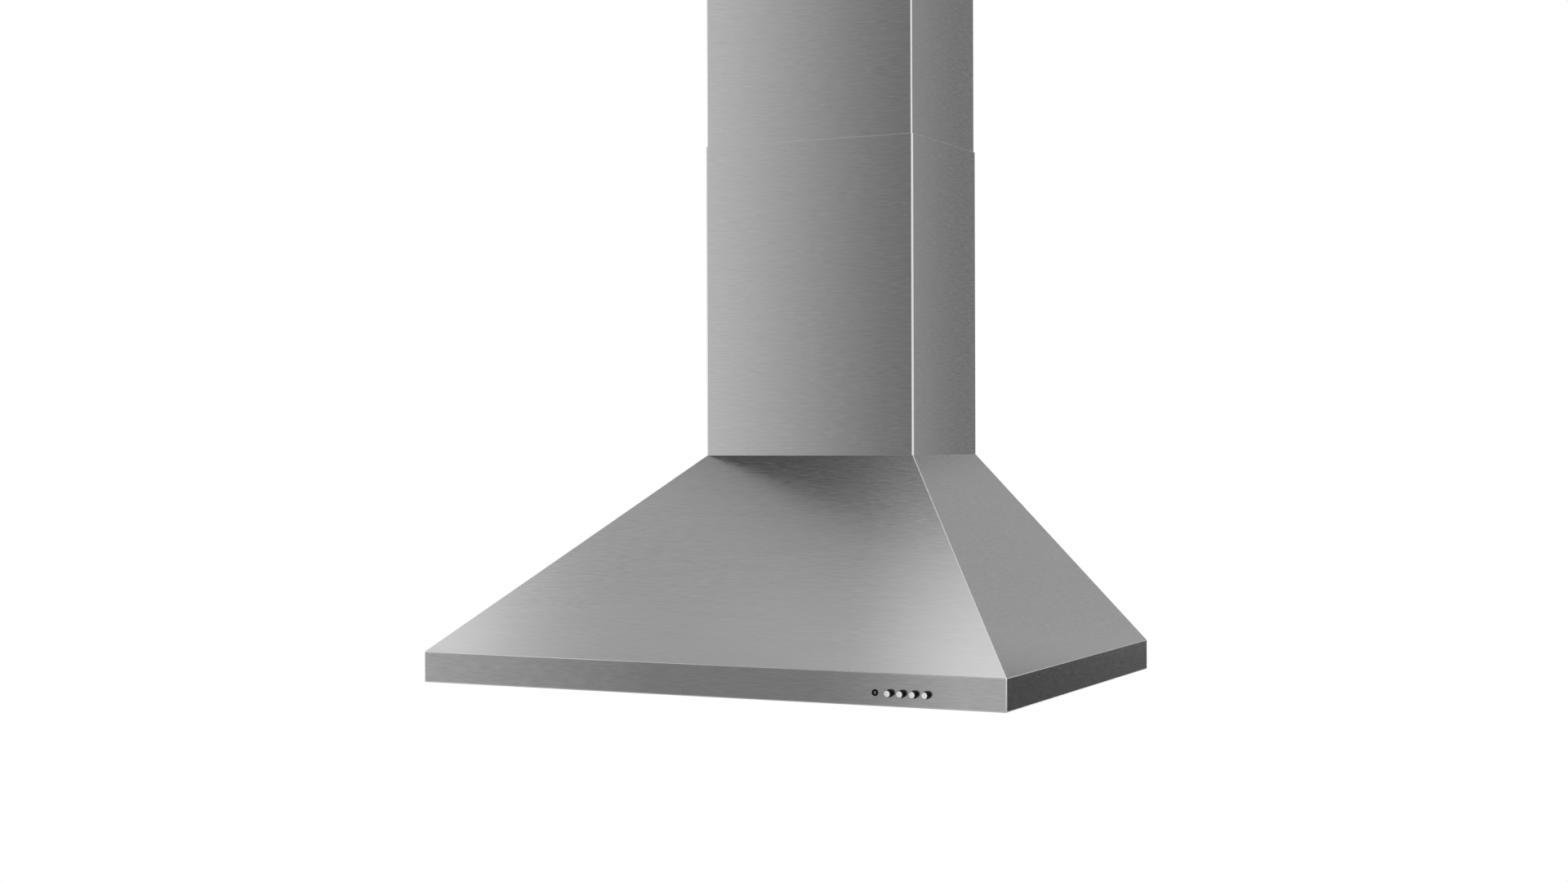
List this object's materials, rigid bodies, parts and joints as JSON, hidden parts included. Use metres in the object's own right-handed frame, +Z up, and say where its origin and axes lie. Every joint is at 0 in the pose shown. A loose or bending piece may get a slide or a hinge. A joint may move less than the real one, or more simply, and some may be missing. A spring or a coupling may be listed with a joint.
{
  "type": "chimney range hood",
  "caption": "Wall-mounted pyramid range hood with a telescoping chimney, a blower with a duct spigot, tilting grease filters and push-button controls.",
  "frame": {"origin": "on the wall plane, at the middle of the back edge of the rim's underside", "axes": "+X to the right seen from the front, +Y towards the wall, +Z up"},
  "size_m": [0.9, 0.609, 1.1],
  "materials": {
    "brushed_stainless": "horizontal fine grain",
    "galvanised_sheet": "spangled zinc",
    "plated_screw": "zinc plated",
    "filter_aluminium": "satin",
    "filter_mesh": "expanded mesh",
    "black_plastic": "fine moulded texture",
    "spring_steel": "bright wire",
    "polished_button": "polished",
    "lamp_trim": "satin",
    "lamp_glass": "frosted",
    "circuit_board": "lacquered board",
    "indicator_window": "dark lens",
    "motor_enamel": "enamel",
    "bush_rubber": "matt",
    "capacitor_shell": "smooth",
    "collar_plastic": "moulded"
  },
  "bodies": {
    "root": {"canopy_front_panel": "brushed_stainless", "canopy_left_panel": "brushed_stainless", "canopy_right_panel": "brushed_stainless", "lower_chimney_cover": "brushed_stainless", "underside_tray": "brushed_stainless", "canopy_back_panel": "galvanised_sheet", "canopy_top_plate": "galvanised_sheet", "blower_box": "galvanised_sheet", "scroll_band": "galvanised_sheet", "scroll_front_plate": "galvanised_sheet", "scroll_rear_plate": "galvanised_sheet", "chimney_wall_bracket": "galvanised_sheet", "wall_hangers": "galvanised_sheet", "motor_bracket": "galvanised_sheet", "capacitor_clip": "galvanised_sheet", "tray_screws": "plated_screw", "blower_screws": "plated_screw", "motor_screws": "plated_screw", "control_box": "black_plastic", "control_box_lid": "black_plastic", "terminal_box": "black_plastic", "terminal_lid": "black_plastic", "cable_gland": "black_plastic", "indicator_bezel": "black_plastic", "light_button_spring": "spring_steel", "low_button_spring": "spring_steel", "mid_button_spring": "spring_steel", "high_button_spring": "spring_steel", "lamp_housing_left": "lamp_trim", "lamp_housing_right": "lamp_trim", "lamp_lens_left": "lamp_glass", "lamp_lens_right": "lamp_glass", "switch_board": "circuit_board", "indicator_lens": "indicator_window", "motor_body": "motor_enamel", "motor_bushes": "bush_rubber", "capacitor": "capacitor_shell", "duct_collar": "collar_plastic"},
    "upper_chimney": {"upper_chimney_cover": "brushed_stainless"},
    "impeller": {"impeller": "black_plastic", "motor_shaft": "spring_steel"},
    "flap_left": {"flap_left": "collar_plastic"},
    "flap_right": {"flap_right": "collar_plastic"},
    "light_button": {"light_button": "polished_button"},
    "speed_button_low": {"speed_button_low": "polished_button"},
    "speed_button_mid": {"speed_button_mid": "polished_button"},
    "speed_button_high": {"speed_button_high": "polished_button"},
    "filter_left": {"filter_frame_left": "filter_aluminium", "filter_grille_left": "filter_mesh", "latch_spring_left": "spring_steel"},
    "latch_left": {"filter_latch_left": "black_plastic"},
    "filter_middle": {"filter_frame_middle": "filter_aluminium", "filter_grille_middle": "filter_mesh", "latch_spring_middle": "spring_steel"},
    "latch_middle": {"filter_latch_middle": "black_plastic"},
    "filter_right": {"filter_frame_right": "filter_aluminium", "filter_grille_right": "filter_mesh", "latch_spring_right": "spring_steel"},
    "latch_right": {"filter_latch_right": "black_plastic"}
  },
  "joints": [
    {"name": "upper_chimney_slide", "type": "slide", "parent": "root", "child": "upper_chimney", "axis": [0, 0, 1], "range_m": [-0.28, 0.12]},
    {"name": "light_button_press", "type": "slide", "parent": "root", "child": "light_button", "axis": [0, 1, 0], "range_m": [0, 0.003], "stiffness_N_per_m": 350, "springref_m": -0.003, "deforming": ["light_button_spring"]},
    {"name": "speed_button_low_press", "type": "slide", "parent": "root", "child": "speed_button_low", "axis": [0, 1, 0], "range_m": [0, 0.003], "stiffness_N_per_m": 350, "springref_m": -0.003, "deforming": ["low_button_spring"]},
    {"name": "speed_button_mid_press", "type": "slide", "parent": "root", "child": "speed_button_mid", "axis": [0, 1, 0], "range_m": [0, 0.003], "stiffness_N_per_m": 350, "springref_m": -0.003, "deforming": ["mid_button_spring"]},
    {"name": "speed_button_high_press", "type": "slide", "parent": "root", "child": "speed_button_high", "axis": [0, 1, 0], "range_m": [0, 0.003], "stiffness_N_per_m": 350, "springref_m": -0.003, "deforming": ["high_button_spring"]},
    {"name": "filter_left_tilt", "type": "hinge", "parent": "root", "child": "filter_left", "pos_m": [-0.272, -0.118, 0.0207], "axis": [1, 0, 0], "range_deg": [0, 80]},
    {"name": "latch_left_slide", "type": "slide", "parent": "filter_left", "child": "latch_left", "axis": [0, 1, 0], "range_m": [0, 0.005], "stiffness_N_per_m": 400, "springref_m": -0.004, "deforming": ["latch_spring_left"]},
    {"name": "filter_middle_tilt", "type": "hinge", "parent": "root", "child": "filter_middle", "pos_m": [0, -0.118, 0.0207], "axis": [1, 0, 0], "range_deg": [0, 80]},
    {"name": "latch_middle_slide", "type": "slide", "parent": "filter_middle", "child": "latch_middle", "axis": [0, 1, 0], "range_m": [0, 0.005], "stiffness_N_per_m": 400, "springref_m": -0.004, "deforming": ["latch_spring_middle"]},
    {"name": "filter_right_tilt", "type": "hinge", "parent": "root", "child": "filter_right", "pos_m": [0.272, -0.118, 0.0207], "axis": [1, 0, 0], "range_deg": [0, 80]},
    {"name": "latch_right_slide", "type": "slide", "parent": "filter_right", "child": "latch_right", "axis": [0, 1, 0], "range_m": [0, 0.005], "stiffness_N_per_m": 400, "springref_m": -0.004, "deforming": ["latch_spring_right"]},
    {"name": "impeller_spin", "type": "hinge", "parent": "root", "child": "impeller", "pos_m": [-0.035, -0.119, 0.46], "axis": [0, 1, 0], "continuous": true},
    {"name": "flap_left_swing", "type": "hinge", "parent": "root", "child": "flap_left", "pos_m": [0.03879, -0.119, 0.6385], "axis": [0, 1, 0], "range_deg": [0, 78]},
    {"name": "flap_right_swing", "type": "hinge", "parent": "root", "child": "flap_right", "pos_m": [0.04879, -0.119, 0.6385], "axis": [0, -1, 0], "range_deg": [0, 78]}
  ]
}
